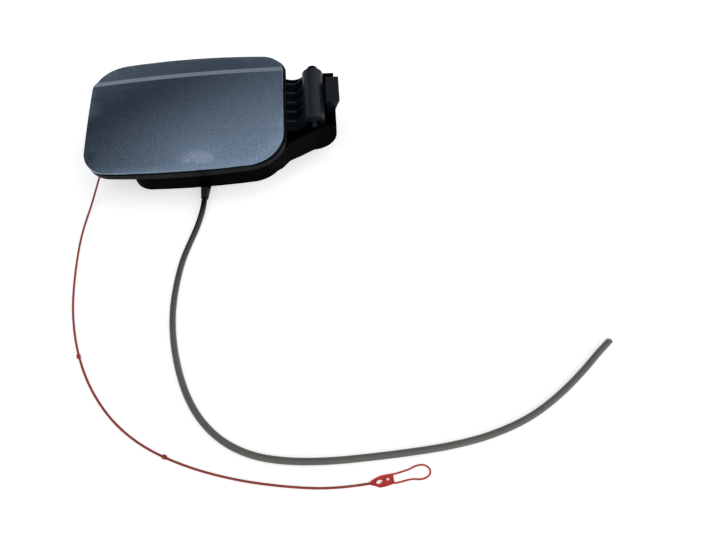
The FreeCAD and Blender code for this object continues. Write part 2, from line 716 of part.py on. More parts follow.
def ear(name, low, high):
    """Plate round the hinge pin, standing on the pocket's wall."""
    return joined(name, rod(name + "Eye", S.ear, (S.pivot_x, low, -S.pivot_depth), high - low, "y"),
                  block(name + "Foot", (S.pivot_x - S.ear, low, -S.rim_depth - EAR_FOOT),
                        (S.pivot_x + S.ear, high, -S.pivot_depth)))


def filler_pot():
    rim = body("RimBody")
    prism(rim, "Rim", "XY", -S.rim_depth - S.rim_height, -S.rim_depth, pot_outline(-S.rim_width))
    pad = block("LockPad", (S.lock_right, S.lock_v - LOCK_PAD, -S.lock_depth - S.lock_height / 2),
                (S.pot_left + PAD_DEPTH, S.lock_v + LOCK_PAD, -S.lock_depth + S.lock_height / 2))
    outer = joined("PotOutside", pot_form("Outer", 0), rim, pad)
    shell = less("PotShell", outer, pot_form("Inner", S.pot_wall))
    front = S.pocket_front + S.pot_wall
    back = S.pocket_back - S.pot_wall
    step_top = S.neck_step + S.pot_wall
    notch_x = S.pivot_x - S.ear - S.back_notch
    plunger_pad = block("PlungerPad", (S.pot_left + 1, S.plunger_y - PLUNGER_PAD, -S.plunger_depth),
                        (S.plunger_x - S.plunger_half, S.plunger_y + PLUNGER_PAD,
                         -S.rim_depth - EAR_FOOT))
    solid = joined(
        "PotSolid", shell, plunger_pad,
        ear("FrontEar", S.pocket_front, front), ear("BackEar", back, S.pocket_back),
        rod("Nub", S.nub_radius, (S.pivot_x, S.pocket_back, -S.pivot_depth), S.nub, "y"),
        rod("StepWall", S.neck_step_radius + S.pot_wall, (0, 0, 0), step_top, frame=None),
        cone("Spout", SPOUT_SHOULDER, SPOUT_ROOT, (S.drain_x, S.drain_seat, S.drain_z),
             S.drain_root - S.drain_seat, "y", None),
        rod("SpoutTube", S.hose_bore, (S.drain_x, S.drain_tip, S.drain_z),
            S.drain_seat - S.drain_tip, "y", None))
    slot = S.pin * 0.85
    cuts = [
        rod("PinHole", S.pin, (S.pivot_x, S.pin_front, -S.pivot_depth), S.pocket_back - S.pin_front, "y"),
        block("EarSlot", (S.pivot_x - slot, S.pocket_front - 1, -S.pivot_depth),
              (S.pivot_x + slot, front + 1, -S.pivot_depth + S.ear + 1)),
        block("EarTop", (S.pivot_x - S.ear - 1, S.pocket_front - 1, -S.pivot_depth + S.ear_horn),
              (S.pivot_x + S.ear + 1, front + 1, -S.pivot_depth + S.ear + 1)),
        rod("BackNotch", S.back_notch, (notch_x, back - 1, -S.back_notch_depth),
            S.pot_wall + S.rim_width + 2, "y"),
        rod("StepSpace", S.neck_step_radius, (0, 0, -1), S.neck_step + 1, frame=None),
        rod("NeckHole", S.neck_hole, (0, 0, -1), step_top + 2, frame=None),
        rod("DrainBore", S.drain_bore, (S.drain_x, S.drain_tip - 1, S.drain_z),
            S.drain_root - S.drain_tip + 6, "y", None),
        rod("LockHole", S.lock_pin + SEAL_WALL, (S.lock_right - 1, S.lock_v, -S.lock_depth), 12, "x"),
    ]
    return less("FillerPotCut", solid, *cuts)


SEAL_WALL = 2.2     # rubber between the lock pin and the hole in the pot


def rim_seal():
    seal = body("SealBody")
    prism(seal, "Seal", "XY", -S.rim_depth, -S.carrier_depth - S.seal_gap,
          pot_outline(-S.seal_width / 2), pot_outline(S.seal_width / 2))
    prism(seal, "HingeGap", "XY", -S.rim_depth - 1, -S.carrier_depth + 1,
          rectangle(POCKET_LEFT, S.pocket_front + S.pot_wall, S.pocket_right, S.pocket_back - S.pot_wall),
          cut=True)
    return seal


def neck_collar():
    collar = body("CollarBody", None)
    floor_low, floor_top = S.neck_step, S.neck_step + S.pot_wall
    wall = S.neck_bore + S.collar_wall
    lip = S.collar_lip_height
    turned(collar, "Collar",
           [line(S.neck_bore, 0), line(wall, 0), line(wall, floor_low - lip),
            line(S.collar_lip, floor_low - lip), line(S.collar_lip, floor_low),
            line(S.neck_hole, floor_low), line(S.neck_hole, floor_top), line(S.collar_lip, floor_top),
            line(S.collar_lip, floor_top + lip), line(wall, floor_top + 2 * lip),
            line(wall, S.collar_top), line(S.neck_bore, S.collar_top)])
    return collar


def spout_sleeve():
    length = S.drain_seat - S.sleeve_tip
    outside = cone("SleeveOutside", S.hose + 0.9, SPOUT_SHOULDER, (S.drain_x, S.sleeve_tip, S.drain_z),
                   length, "y", None)
    return less("SleeveCut", outside,
                rod("SleeveHose", S.hose, (S.drain_x, S.sleeve_tip - 1, S.drain_z),
                    S.hose_start - S.sleeve_tip + 1, "y", None),
                rod("SleeveSpout", S.hose_bore, (S.drain_x, S.sleeve_tip - 1, S.drain_z),
                    length + 2, "y", None))


# Lock: housing on the pot's left side, its pin through the wall, and the kick-out plunger.
def lock_housing():
    low = (S.lock_left + S.lock_wall, S.lock_v - S.lock_half, -S.lock_depth - S.lock_height / 2)
    high = (S.lock_right, S.lock_v + S.lock_half, -S.lock_depth + S.lock_height / 2)
    wall = S.lock_wall
    case = joined("LockCase", block("LockBox", low, high),
                  rod("CordNipple", S.cord + 1.6, (S.nipple_x, S.lock_v - S.lock_half - S.nipple, -S.lock_depth),
                      S.nipple, "y"),
                  block("Socket", (SOCKET_LEFT, high[1], -S.lock_depth - SOCKET_HALF),
                        (SOCKET_RIGHT, high[1] + SOCKET_LENGTH, -S.lock_depth + SOCKET_HALF)))
    inside = SOCKET_HALF - SOCKET_WALL
    return less("LockHousingCut", case,
                block("LockRoom", (low[0] - 1, low[1] + wall, low[2] + wall),
                      (S.lock_right - wall, high[1] - wall, high[2] - wall)),
                rod("PinWay", S.lock_pin + S.running_gap, (S.lock_right - wall - 1, S.lock_v, -S.lock_depth),
                    wall + 2, "x"),
                rod("CordWay", S.cord, (S.nipple_x, S.lock_v - S.lock_half - S.nipple - 1, -S.lock_depth),
                    S.nipple + wall + 2, "y"),
                block("SocketRoom", (SOCKET_LEFT + SOCKET_WALL, high[1] + SOCKET_FLOOR, -S.lock_depth - inside),
                      (SOCKET_RIGHT - SOCKET_WALL, high[1] + SOCKET_LENGTH + 1, -S.lock_depth + inside)))


COVER_SCREWS = [(-16, -6), (-16, 6)]     # up the face and out of it, from the lock's axis
SCREW_POST = 3


def lock_cover():
    low = (S.lock_left, S.lock_v - S.lock_half, -S.lock_depth - S.lock_height / 2)
    high = (S.lock_left + S.lock_wall, S.lock_v + S.lock_half, -S.lock_depth + S.lock_height / 2)
    plate = block("CoverPlate", low, high)
    posts = [rod("CoverPost%d" % i, SCREW_POST, (S.lock_left + S.lock_wall, S.lock_v + y, -S.lock_depth + z),
                 S.lock_right - S.lock_left - 2 * S.lock_wall, "x") for i, (y, z) in enumerate(COVER_SCREWS)]
    holes = [rod("CoverHole%d" % i, S.screw, (S.lock_left - 1, S.lock_v + y, -S.lock_depth + z), 14, "x")
             for i, (y, z) in enumerate(COVER_SCREWS)]
    return less("LockCoverCut", joined("CoverSolid", plate, *posts), *holes)


def lock_screws():
    pieces = []
    for i, (y, z) in enumerate(COVER_SCREWS):
        at = (S.lock_left - S.screw_head_height, S.lock_v + y, -S.lock_depth + z)
        pieces.append(rod("LockHead%d" % i, S.screw_head, at, S.screw_head_height, "x"))
        pieces.append(rod("LockShank%d" % i, S.screw, at, S.screw_head_height + 11, "x"))
    return joined("LockScrews", *pieces)


LOCK_PIN_START = 10     # inner end of the drawn-back pin, from the housing's left face
LOCK_PIN_REST = 2       # its tip, short of the striker


def lock_pin():
    retracted = S.striker_x - LOCK_PIN_REST
    return rod("LockPinBar", S.lock_pin, (S.lock_left + LOCK_PIN_START, S.lock_v, -S.lock_depth),
               retracted - S.lock_left - LOCK_PIN_START, "x")


def pin_seal():
    """Rubber grommet in the pot's wall round the lock pin."""
    length = S.pot_left + S.pot_wall - S.lock_right
    seal = rod("GrommetBody", S.lock_pin + SEAL_WALL, (S.lock_right, S.lock_v, -S.lock_depth), length, "x")
    return less("GrommetCut", seal, rod("GrommetBore", S.lock_pin + 2 * S.running_gap,
                                        (S.lock_right - 1, S.lock_v, -S.lock_depth), length + 2, "x"))


MOTOR_RADIUS, MOTOR_SHAFT = 8, 1
MOTOR_X = 18            # motor's axis from the housing's left face
MOTOR_FRONT, MOTOR_BACK = 5, 20


def lock_motor():
    x = S.lock_left + MOTOR_X
    can = rod("MotorCan", MOTOR_RADIUS, (x, S.lock_v + MOTOR_FRONT, -S.lock_depth), MOTOR_BACK - MOTOR_FRONT, "y")
    shaft = rod("MotorShaft", MOTOR_SHAFT, (x, S.lock_v + S.lock_pin + S.seal_gap, -S.lock_depth),
                MOTOR_FRONT - S.lock_pin, "y")
    return joined("LockMotor", can, shaft)


SOCKET_LEFT, SOCKET_RIGHT = -90, -76
SOCKET_HALF = 7
SOCKET_LENGTH = 18
SOCKET_WALL, SOCKET_FLOOR = 2, 2
BLADE_LENGTH = 7


def plug_pins():
    back = S.lock_v + S.lock_half
    low, high = back + SOCKET_FLOOR, back + SOCKET_FLOOR + BLADE_LENGTH
    blades = [block("Blade%d" % i, (x, low, -S.lock_depth - 0.3), (x + 1.5, high, -S.lock_depth + 0.3))
              for i, x in enumerate((-86.5, -81))]
    return joined("PlugPins", *blades)


def latch_case():
    half = S.plunger_half
    case = block("CaseBlock", (S.plunger_x - half, S.plunger_y - half, -S.plunger_depth),
                 (S.plunger_x + half, S.plunger_y + half, -S.rim_depth - 2))
    return less("CaseCut", case, rod("CaseBore", S.plunger + S.running_gap,
                                     (S.plunger_x, S.plunger_y, -S.plunger_depth + 2), S.plunger_depth))


def latch_plunger():
    low = -S.plunger_depth + 9
    return rod("PlungerBar", S.plunger, (S.plunger_x, S.plunger_y, low), -S.carrier_depth - S.seal_gap - low)


# Loose lines: the drain hose and the release cord, as straight runs joined by tangent arcs.
BEND_SHARE = 0.45
HOSE_ROUTE = [
    (0, -76, 6), (0, -93, 6), (-2.4, -109, 4), (-6, -126, 3), (-10.8, -144, 3), (-16, -166, 3),
    (-18.8, -194, 3), (-19.2, -226, 3), (-15, -258, 3), (-7, -289, 3), (4.5, -318, 3),
    (19.3, -341, 3), (39, -359.5, 3), (63.5, -371.8, 3), (92, -377.6, 3), (124, -379.4, 3),
    (156, -378.4, 3), (189, -376.6, 3), (222, -373.8, 3), (256.5, -367.6, 3), (293, -354.6, 3),
    (324, -335.4, 3), (352, -313.2, 3), (371.5, -295.4, 3), (386.1, -283.8, 3)]
CORD_ROUTE = [
    (-110, -39.3, 25), (-110.3, -47.8, 23), (-113.4, -58, 17.8), (-117.6, -69.5, 10.4),
    (-121.2, -82, 4.2), (-123.9, -97, 1), (-124.9, -117, 1), (-124.1, -143, 1), (-120.4, -181, 1),
    (-114.7, -217, 1), (-104.5, -253, 1), (-91.2, -284, 1), (-76.3, -309, 1), (-55.4, -334.8, 1),
    (-27.4, -357.4, 1), (8, -375.2, 1), (48, -388.6, 1), (91, -397.2, 1), (128, -400.9, 1),
    (153.6, -398.7, 1)]


def bent_path(points, label):
    """Straight runs with the largest tangent arcs that they allow; prints the tightest one."""
    points = [V(*p) for p in points]
    edges, start, radii = [], points[0], []
    for before, corner, after in zip(points, points[1:], points[2:]):
        back, ahead = (before - corner), (after - corner)
        share = BEND_SHARE * min(back.Length, ahead.Length)
        turn = math.pi - back.getAngle(ahead)
        radii.append(share / math.tan(turn / 2))
        back.normalize()
        ahead.normalize()
        first, last = corner + back * share, corner + ahead * share
        inward_line = (back + ahead).normalize()
        middle = corner + inward_line * (radii[-1] / math.cos(turn / 2) - radii[-1])
        edges.append(Part.LineSegment(start, first).toShape())
        edges.append(Part.Arc(first, middle, last).toShape())
        start = last
    edges.append(Part.LineSegment(start, points[-1]).toShape())
    path = Part.Wire(edges)
    print("%s: length %.1f, tightest radius %.1f" % (label, path.Length, min(radii)))
    return path


def line_solid(name, route, outer, bore):
    path = bent_path(route, name)
    start = path.Edges[0].firstVertex().Point
    along = path.Edges[0].lastVertex().Point - start
    rings = [Part.Wire(Part.Circle(start, along, radius).toShape()) for radius in (outer, bore) if radius]
    tubes = [path.makePipeShell([ring], True, False) for ring in rings]
    tube = tubes[0] if len(tubes) == 1 else tubes[0].cut(tubes[1])
    section = math.pi * (outer ** 2 - bore ** 2)
    print("%s: volume over section times length %.4f" % (name, tube.Volume / (section * path.Length)))
    feature = doc.addObject("Part::Feature", name)
    feature.Shape = tube
    return feature


def drain_hose():
    return line_solid("HoseTube", HOSE_ROUTE, S.hose.value, S.hose_bore.value)


def release_cord():
    return line_solid("CordLine", CORD_ROUTE, S.cord.value, 0)


TAG_TIP = (153.6, -398.7)
TAG_TURN = 7.9
TAG_LENGTH, TAG_HALF, TAG_HEIGHT = 20, 3.8, 1.6
TAG_SHOULDER, TAG_NOSE = 8, 1.2     # where the tag reaches its width, half width at its tip
TAG_HOLE, TAG_HOLE_X = 1.3, 7.5
TAG_SLOT, TAG_SLOT_START, TAG_SLOT_END = 0.9, 12, 16
LOOP_X, LOOP_RADIUS, LOOP_WIDTH = 44.6, 5.5, 1.8
LOOP_WAIST_X, LOOP_WAIST = 32, 3.4    # where the loop's upper strand sags, and how far out it is


def release_handle():
    """Flat tag with a round and a long hole, and the finger loop moulded to its end."""
    place = ("placement(vector(%s; %s; 0); rotation(vector(0; 0; 1); %s))" % (*TAG_TIP, TAG_TURN))
    handle = body("HandleBody", place)
    half = LOOP_WIDTH / 2
    prism(handle, "Tag", "XY", 0.2, 0.2 + TAG_HEIGHT,
          [line(0.1, -TAG_NOSE), line(TAG_SHOULDER, -TAG_HALF), line(TAG_LENGTH, -TAG_HALF),
           line(TAG_LENGTH, TAG_HALF), line(TAG_SHOULDER, TAG_HALF), line(0.1, TAG_NOSE)],
          circle(TAG_HOLE_X, 0, TAG_HOLE),
          rectangle(TAG_SLOT_START, -TAG_SLOT, TAG_SLOT_END, TAG_SLOT))
    big, small = LOOP_RADIUS + half, LOOP_RADIUS - half
    low = TAG_HALF - half
    prism(handle, "Loop", "XY", 0.1, 0.1 + LOOP_WIDTH,
          [line(TAG_LENGTH - 1, -TAG_HALF - 0.1), arc(LOOP_X, -big, big), arc(LOOP_X + big, 0, big),
           line(LOOP_X, big), line(LOOP_WAIST_X, LOOP_WAIST + half), line(TAG_LENGTH - 1, TAG_HALF + 0.1)],
          [line(TAG_LENGTH + 1, -low), arc(LOOP_X, -small, small), arc(LOOP_X + small, 0, small),
           line(LOOP_X, small), line(LOOP_WAIST_X, LOOP_WAIST - half), line(TAG_LENGTH + 1, low)])
    return handle


BEAD_PLACES = [(-98, -268.5), (-9.7, -366.3)]   # each bead sits on the run that passes nearest
BEAD_RADIUS, BEAD_LENGTH = 1.8, 3


def cord_beads():
    """Two small beads clipped over the cord, each on the straight middle of its run."""
    beads = []
    points = [V(*p) for p in CORD_ROUTE]
    for x, y in BEAD_PLACES:
        run = min(zip(points, points[1:]), key=lambda ends: ((ends[0] + ends[1]) / 2 - V(x, y, 0)).Length)
        middle, along = (run[0] + run[1]) / 2, (run[1] - run[0]).normalize()
        start = middle - along * BEAD_LENGTH / 2
        lift = V(0, 0, BEAD_RADIUS - S.cord.value / 2)
        bead = Part.makeCylinder(BEAD_RADIUS, BEAD_LENGTH, start + lift, along)
        beads.append(bead.cut(Part.makeCylinder(S.cord.value, BEAD_LENGTH, start, along)))
    feature = doc.addObject("Part::Feature", "Beads")
    feature.Shape = Part.makeCompound(beads)
    return feature


NODES = {
    "flap_skin": flap_skin, "flap_carrier": flap_carrier, "hinge_arm": hinge_arm,
    "hinge_bushes": hinge_bushes, "flap_screws": flap_screws, "striker": striker,
    "cap_holder": cap_holder, "filler_pot": filler_pot, "hinge_pin": hinge_pin,
    "detent_housing": detent_housing, "detent_spring": detent_spring, "rim_seal": rim_seal,
    "neck_collar": neck_collar, "spout_sleeve": spout_sleeve, "drain_hose": drain_hose,
    "lock_housing": lock_housing, "lock_cover": lock_cover, "lock_screws": lock_screws,
    "lock_motor": lock_motor, "plug_pins": plug_pins, "pin_seal": pin_seal, "lock_pin": lock_pin,
    "latch_case": latch_case, "latch_plunger": latch_plunger, "release_cord": release_cord,
    "cord_beads": cord_beads, "release_handle": release_handle,
}

made = {}
for node, build in NODES.items():
    made[node] = build()
    made[node].Label = node
doc.recompute()

for item in doc.Objects:
    if "Invalid" in item.State or "Error" in item.State:
        raise RuntimeError("%s failed: %s" % (item.Label, item.getStatusString()))
for node, item in made.items():
    if item.Shape.isNull() or not item.Shape.isValid() or not item.Shape.Solids:
        raise RuntimeError("%s has no valid solid" % node)

os.makedirs("parts", exist_ok=True)
for node, item in made.items():
    item.Shape.exportStep("parts/%s.step" % node)
    low, high = item.Shape.BoundBox.ZMin, item.Shape.BoundBox.ZMax
    print("%-16s %d solids, volume %.0f, height %.1f to %.1f"
          % (node, len(item.Shape.Solids), item.Shape.Volume, low, high))
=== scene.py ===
import math

import bmesh
import bpy
from mathutils import Matrix, Vector


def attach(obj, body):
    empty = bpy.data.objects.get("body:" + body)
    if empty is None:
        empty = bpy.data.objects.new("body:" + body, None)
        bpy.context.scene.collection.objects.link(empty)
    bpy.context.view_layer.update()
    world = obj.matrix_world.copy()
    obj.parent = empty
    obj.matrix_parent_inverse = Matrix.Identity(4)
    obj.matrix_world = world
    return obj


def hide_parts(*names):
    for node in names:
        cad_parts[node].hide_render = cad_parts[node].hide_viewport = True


bl_info = {
    "name": "Fuel filler flap",
    "version": (1, 0, 0),
    "blender": (4, 5, 0),
    "location": "3D View > Sidebar > Filler Flap",
    "description": "Finishes and fine pieces of a painted fuel filler flap on its filler pot",
    "category": "Object",
}

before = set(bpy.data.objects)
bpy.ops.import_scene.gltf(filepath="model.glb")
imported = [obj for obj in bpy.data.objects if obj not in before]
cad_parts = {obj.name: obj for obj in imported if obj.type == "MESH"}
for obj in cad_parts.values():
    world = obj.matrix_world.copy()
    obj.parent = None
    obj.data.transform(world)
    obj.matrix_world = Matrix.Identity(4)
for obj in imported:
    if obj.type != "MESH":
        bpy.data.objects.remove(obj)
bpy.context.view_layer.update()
MM = 0.001
MERGED = 0.002 * MM     # points of a CAD mesh that lie this near to each other are one


# Sizes and colours that a user may change.
def colour(name, description, default):
    return bpy.props.FloatVectorProperty(name=name, description=description, default=default,
                                         size=3, subtype="COLOR", min=0, max=1)


def length(name, description, default):
    return bpy.props.FloatProperty(name=name, description=description, default=default,
                                   subtype="DISTANCE", unit="LENGTH", min=0, precision=4)


def share(name, description, default):
    return bpy.props.FloatProperty(name=name, description=description, default=default,
                                   subtype="FACTOR", min=0, max=1)


class FlapFinishes(bpy.types.PropertyGroup):
    """Colours and gloss of the flap's paint and of the mouldings."""
    paint: colour("Paint", "Body of the metallic paint", (0.086, 0.134, 0.202))
    flake: colour("Flake", "Paint where its flakes catch the light", (0.215, 0.296, 0.410))
    paint_roughness: share("Paint roughness", "Roughness of the flake coat", 0.22)
    clear_coat: share("Clear coat", "Weight of the paint's clear coat", 1.0)
    hinge_black: colour("Hinge plastic", "Satin plastic of the hinge arm", (0.0070, 0.0115, 0.018))
    pot_black: colour("Pot plastic", "Dull plastic of the filler pot", (0.0009, 0.0009, 0.0010))
    carrier_black: colour("Carrier plastic", "Plastic of the carrier and the lock",
                          (0.0022, 0.0026, 0.0035))
    seal_black: colour("Seal rubber", "Foam rubber of the seals", (0.010, 0.010, 0.011))
    steel: colour("Steel", "Zinc-plated steel", (0.52, 0.53, 0.54))
    edge_round: length("Edge round", "Rounding of the mouldings' edges", 0.35 * MM)


class FlapCords(bpy.types.PropertyGroup):
    """Sizes and colours of the drain hose and the release cord."""
    hose_diameter: length("Hose diameter", "Outer diameter of the drain hose", 6 * MM)
    hose_wall: length("Hose wall", "Wall of the drain hose", 1 * MM)
    hose_grey: colour("Hose grey", "Rubber of the drain hose", (0.094, 0.096, 0.090))
    hose_brown: colour("Hose brown", "The same rubber where it has browned", (0.122, 0.108, 0.092))
    hose_inside: colour("Hose inside", "Paler inside of the hose, seen at its cut end", (0.26, 0.24, 0.21))
    cord_diameter: length("Cord diameter", "Diameter of the release cord", 2 * MM)
    cord_red: colour("Cord red", "Sheath of the release cord", (0.29, 0.038, 0.024))
    handle_red: colour("Handle red", "Moulded handle of the release cord", (0.50, 0.026, 0.015))


class FlapStudio(bpy.types.PropertyGroup):
    """Camera, floor and light."""
    lens: bpy.props.FloatProperty(name="Lens", description="Focal length of the camera",
                                  default=30, unit="CAMERA")
    floor_white: share("Floor white", "Lightness of the floor", 0.86)
    key_light: bpy.props.FloatProperty(name="Key light", description="Strength of the large soft lamp",
                                       default=0.38, min=0)
    spot_light: bpy.props.FloatProperty(name="Round lamp", description="Strength of the small round lamp",
                                        default=0.007, min=0)


# Shader building blocks. Every pattern reads the piece's own coordinates in metres.
def shader_nodes(name):
    """A new material, with its node tree and its main shader."""
    material = bpy.data.materials.new(name)
    material.use_nodes = True
    tree = material.node_tree
    return material, tree, tree.nodes["Principled BSDF"]


def node(tree, kind, **values):
    """A new node, with values for its sockets and its own settings."""
    made = tree.nodes.new(kind)
    for key, value in values.items():
        if key in made.inputs:
            made.inputs[key].default_value = value
        else:
            setattr(made, key, value)
    return made


def noise(tree, scale, detail=2.0, roughness=0.5):
    """Noise over the piece's own coordinates, in features per metre."""
    place = node(tree, "ShaderNodeTexCoord").outputs["Object"]
    made = node(tree, "ShaderNodeTexNoise", Scale=scale, Detail=detail, Roughness=roughness)
    tree.links.new(place, made.inputs["Vector"])
    return made.outputs["Fac"]


def spread(tree, value, low, high, start=0.35, end=0.65):
    """A texture value between start and end, stretched to low and high."""
    ranged = node(tree, "ShaderNodeMapRange", clamp=True)
    for key, number in (("From Min", start), ("From Max", end), ("To Min", low), ("To Max", high)):
        ranged.inputs[key].default_value = number
    tree.links.new(value, ranged.inputs["Value"])
    return ranged.outputs["Result"]


def tinted(tree, value, first, second):
    """Colour between two, by a texture value; returns the colour output."""
    ramp = node(tree, "ShaderNodeValToRGB")
    ramp.color_ramp.elements[0].color = (*first, 1)
    ramp.color_ramp.elements[1].color = (*second, 1)
    ramp.color_ramp.elements[0].position = 0.3
    ramp.color_ramp.elements[1].position = 0.7
    tree.links.new(value, ramp.inputs["Fac"])
    return ramp.outputs["Color"]


def relief(tree, shader, *layers):
    """Bump layers, each (texture value, depth in metres), on top of each other."""
    below = None
    for value, depth in layers:
        bump = node(tree, "ShaderNodeBump", Strength=1.0, Distance=depth)
        tree.links.new(value, bump.inputs["Height"])
        if below:
            tree.links.new(below, bump.inputs["Normal"])
        below = bump.outputs["Normal"]
    tree.links.new(below, shader.inputs["Normal"])


def scaled(tint, factor):
    """A colour made darker or lighter by a factor."""
    return tuple(min(1.0, c * factor) for c in tint)


def paint_finish(sizes):
    """Metallic blue-grey paint: flakes in a rough coat under a smooth clear coat."""
    material, tree, shader = shader_nodes("flap_paint")
    flakes = noise(tree, 800, 2.0, 0.7)
    tree.links.new(tinted(tree, flakes, tuple(sizes.paint), tuple(sizes.flake)),
                   shader.inputs["Base Color"])
    tree.links.new(spread(tree, noise(tree, 900, 2.0), sizes.paint_roughness - 0.03,
                          sizes.paint_roughness + 0.03), shader.inputs["Roughness"])
    shader.inputs["Metallic"].default_value = 0.95
    shader.inputs["Coat Weight"].default_value = sizes.clear_coat
    shader.inputs["Coat Roughness"].default_value = 0.05
    relief(tree, shader, (noise(tree, 260, 2.0), 0.002 * MM), (flakes, 0.003 * MM))
    return material


def moulded_finish(name, tint, roughness, grain=0.010, specular=0.35):
    """Moulded plastic with a fine grain, slightly uneven in colour and gloss."""
    material, tree, shader = shader_nodes(name)
    tree.links.new(tinted(tree, noise(tree, 55, 3.0), scaled(tint, 0.82), scaled(tint, 1.2)),
                   shader.inputs["Base Color"])
    tree.links.new(spread(tree, noise(tree, 380, 3.0), roughness - 0.07, roughness + 0.08),
                   shader.inputs["Roughness"])
    shader.inputs["Specular IOR Level"].default_value = specular
    relief(tree, shader, (noise(tree, 1500, 3.0), grain * MM),
           (noise(tree, 90, 1.0), grain * 1.5 * MM))
    return material


def rubber_finish(name, tint, roughness=0.55, bloom=1.5):
    """Rubber with a faint grey bloom in patches."""
    material, tree, shader = shader_nodes(name)
    tree.links.new(tinted(tree, noise(tree, 28, 4.0, 0.6), tint, scaled(tint, bloom)),
                   shader.inputs["Base Color"])
    tree.links.new(spread(tree, noise(tree, 160, 3.0), roughness - 0.1, roughness + 0.1),
                   shader.inputs["Roughness"])
    shader.inputs["Specular IOR Level"].default_value = 0.4
    relief(tree, shader, (noise(tree, 700, 4.0, 0.6), 0.02 * MM))
    return material


def hose_finish(sizes):
    """Aged hose rubber: grey and brown by turns, with painted shade that makes it nearly black beside the
    spout.
    """
    material, tree, shader = shader_nodes("hose_rubber")
    place = node(tree, "ShaderNodeTexCoord").outputs["Object"]
    away = node(tree, "ShaderNodeVectorMath", operation="DISTANCE")
    tree.links.new(place, away.inputs[0])
    away.inputs[1].default_value = HOSE_ROUTE[0]
    grey, brown = tuple(sizes.hose_grey), tuple(sizes.hose_brown)
    aged = tinted(tree, noise(tree, 24, 3.0, 0.65), grey, brown)
    # Painted shade: towards the spout, where the pot shades the hose, the rubber is darkened to a share of
    # its grey.
    painted_shade = node(tree, "ShaderNodeMix", data_type="RGBA")
    tree.links.new(spread(tree, away.outputs["Value"], 0, 1, HOSE_PAINTED_SHADE_TO, HOSE_PAINTED_SHADE_END),
                   painted_shade.inputs["Factor"])
    painted_shade.inputs["A"].default_value = (*scaled(grey, HOSE_PAINTED_SHADE_SHARE), 1)
    tree.links.new(aged, painted_shade.inputs["B"])
    tree.links.new(painted_shade.outputs["Result"], shader.inputs["Base Color"])
    tree.links.new(spread(tree, noise(tree, 160, 3.0), 0.27, 0.42), shader.inputs["Roughness"])
    shader.inputs["Specular IOR Level"].default_value = 0.5
    relief(tree, shader, (noise(tree, 700, 4.0, 0.6), 0.02 * MM))
    return material


def steel_finish(name, tint, roughness=0.32):
    """Plated or spring steel, slightly clouded."""
    material, tree, shader = shader_nodes(name)
    tree.links.new(tinted(tree, noise(tree, 300, 4.0, 0.6), scaled(tint, 0.8), tint),
                   shader.inputs["Base Color"])
    tree.links.new(spread(tree, noise(tree, 900, 2.0), roughness - 0.08, roughness + 0.1),
                   shader.inputs["Roughness"])
    shader.inputs["Metallic"].default_value = 1.0
    relief(tree, shader, (noise(tree, 1200, 2.0), 0.003 * MM))
    return material


# Making and finishing pieces.
def linked(name, data, material):
    """A piece of the scene with one finish."""
    piece = bpy.data.objects.new(name, data)
    bpy.context.scene.collection.objects.link(piece)
    data.materials.clear()
    data.materials.append(material)
    return piece


def coat(names, material):
    """Gives CAD nodes a finish in all their material slots."""
    for name in names:
        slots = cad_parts[name].data.materials
        for i in range(len(slots)):
            slots[i] = material
        if not slots:
            slots.append(material)


def soften(pieces, width):
    """Rounds hard edges with modifiers, the pieces' meshes left as they are."""
    for piece in pieces:
        weld = piece.modifiers.new("Weld", "WELD")
        weld.merge_threshold = MERGED
        flat = piece.modifiers.new("Flat faces", "DECIMATE")
        flat.decimate_type = "DISSOLVE"
        flat.angle_limit = math.radians(0.5)
        round_edges = piece.modifiers.new("Edge round", "BEVEL")
        round_edges.limit_method = "ANGLE"
        round_edges.angle_limit = math.radians(38)
        round_edges.width = width
        round_edges.segments = 2
        round_edges.harden_normals = False
        shade = piece.modifiers.new("Even shading", "WEIGHTED_NORMAL")
        shade.keep_sharp = False
        shade.weight = 90


def spline(name, points, radius, material, sides):
    """A round cord along the smooth line that its route's control points shape, in metres."""
    data = bpy.data.curves.new(name, "CURVE")
    data.dimensions = "3D"
    route = data.splines.new("NURBS")
    route.points.add(len(points) - 1)
    for point, place in zip(route.points, points):
        point.co = (*place, 1)
    route.order_u = 3
    route.use_endpoint_u = True
    data.resolution_u = 12
    data.bevel_depth = radius
    data.bevel_resolution = sides
    data.use_fill_caps = False
    return linked(name, data, material)


# Routes of the hose and the cord, in metres, from the spout and from the lock to their free ends.
HOSE_ROUTE = [
    (0.0, -0.076, 0.006), (0.0, -0.093, 0.006), (-0.0024, -0.109, 0.004),
    (-0.006, -0.126, 0.003), (-0.0108, -0.144, 0.003), (-0.016, -0.166, 0.003),
    (-0.0188, -0.194, 0.003), (-0.0192, -0.226, 0.003), (-0.015, -0.258, 0.003),
    (-0.007, -0.289, 0.003), (0.0045, -0.318, 0.003), (0.0193, -0.341, 0.003),
    (0.039, -0.3595, 0.003), (0.0635, -0.3718, 0.003), (0.092, -0.3776, 0.003),
    (0.124, -0.3794, 0.003), (0.156, -0.3784, 0.003), (0.189, -0.3766, 0.003),
    (0.222, -0.3738, 0.003), (0.2565, -0.3676, 0.003), (0.293, -0.3546, 0.003),
    (0.324, -0.3354, 0.003), (0.352, -0.3132, 0.003), (0.3715, -0.2954, 0.003),
    (0.3861, -0.2838, 0.003)]
CORD_ROUTE = [
    (-0.110, -0.0393, 0.025), (-0.1103, -0.0478, 0.023), (-0.1134, -0.058, 0.0178),
    (-0.1176, -0.0695, 0.0104), (-0.1212, -0.082, 0.0042), (-0.1239, -0.097, 0.001),
    (-0.1249, -0.117, 0.001), (-0.1241, -0.143, 0.001), (-0.1204, -0.181, 0.001),
    (-0.1147, -0.217, 0.001), (-0.1045, -0.253, 0.001), (-0.0912, -0.284, 0.001),
    (-0.0763, -0.309, 0.001), (-0.0554, -0.3348, 0.001), (-0.0274, -0.3574, 0.001),
    (0.008, -0.3752, 0.001), (0.048, -0.3886, 0.001), (0.091, -0.3972, 0.001),
    (0.128, -0.4009, 0.001), (0.1536, -0.3987, 0.001)]
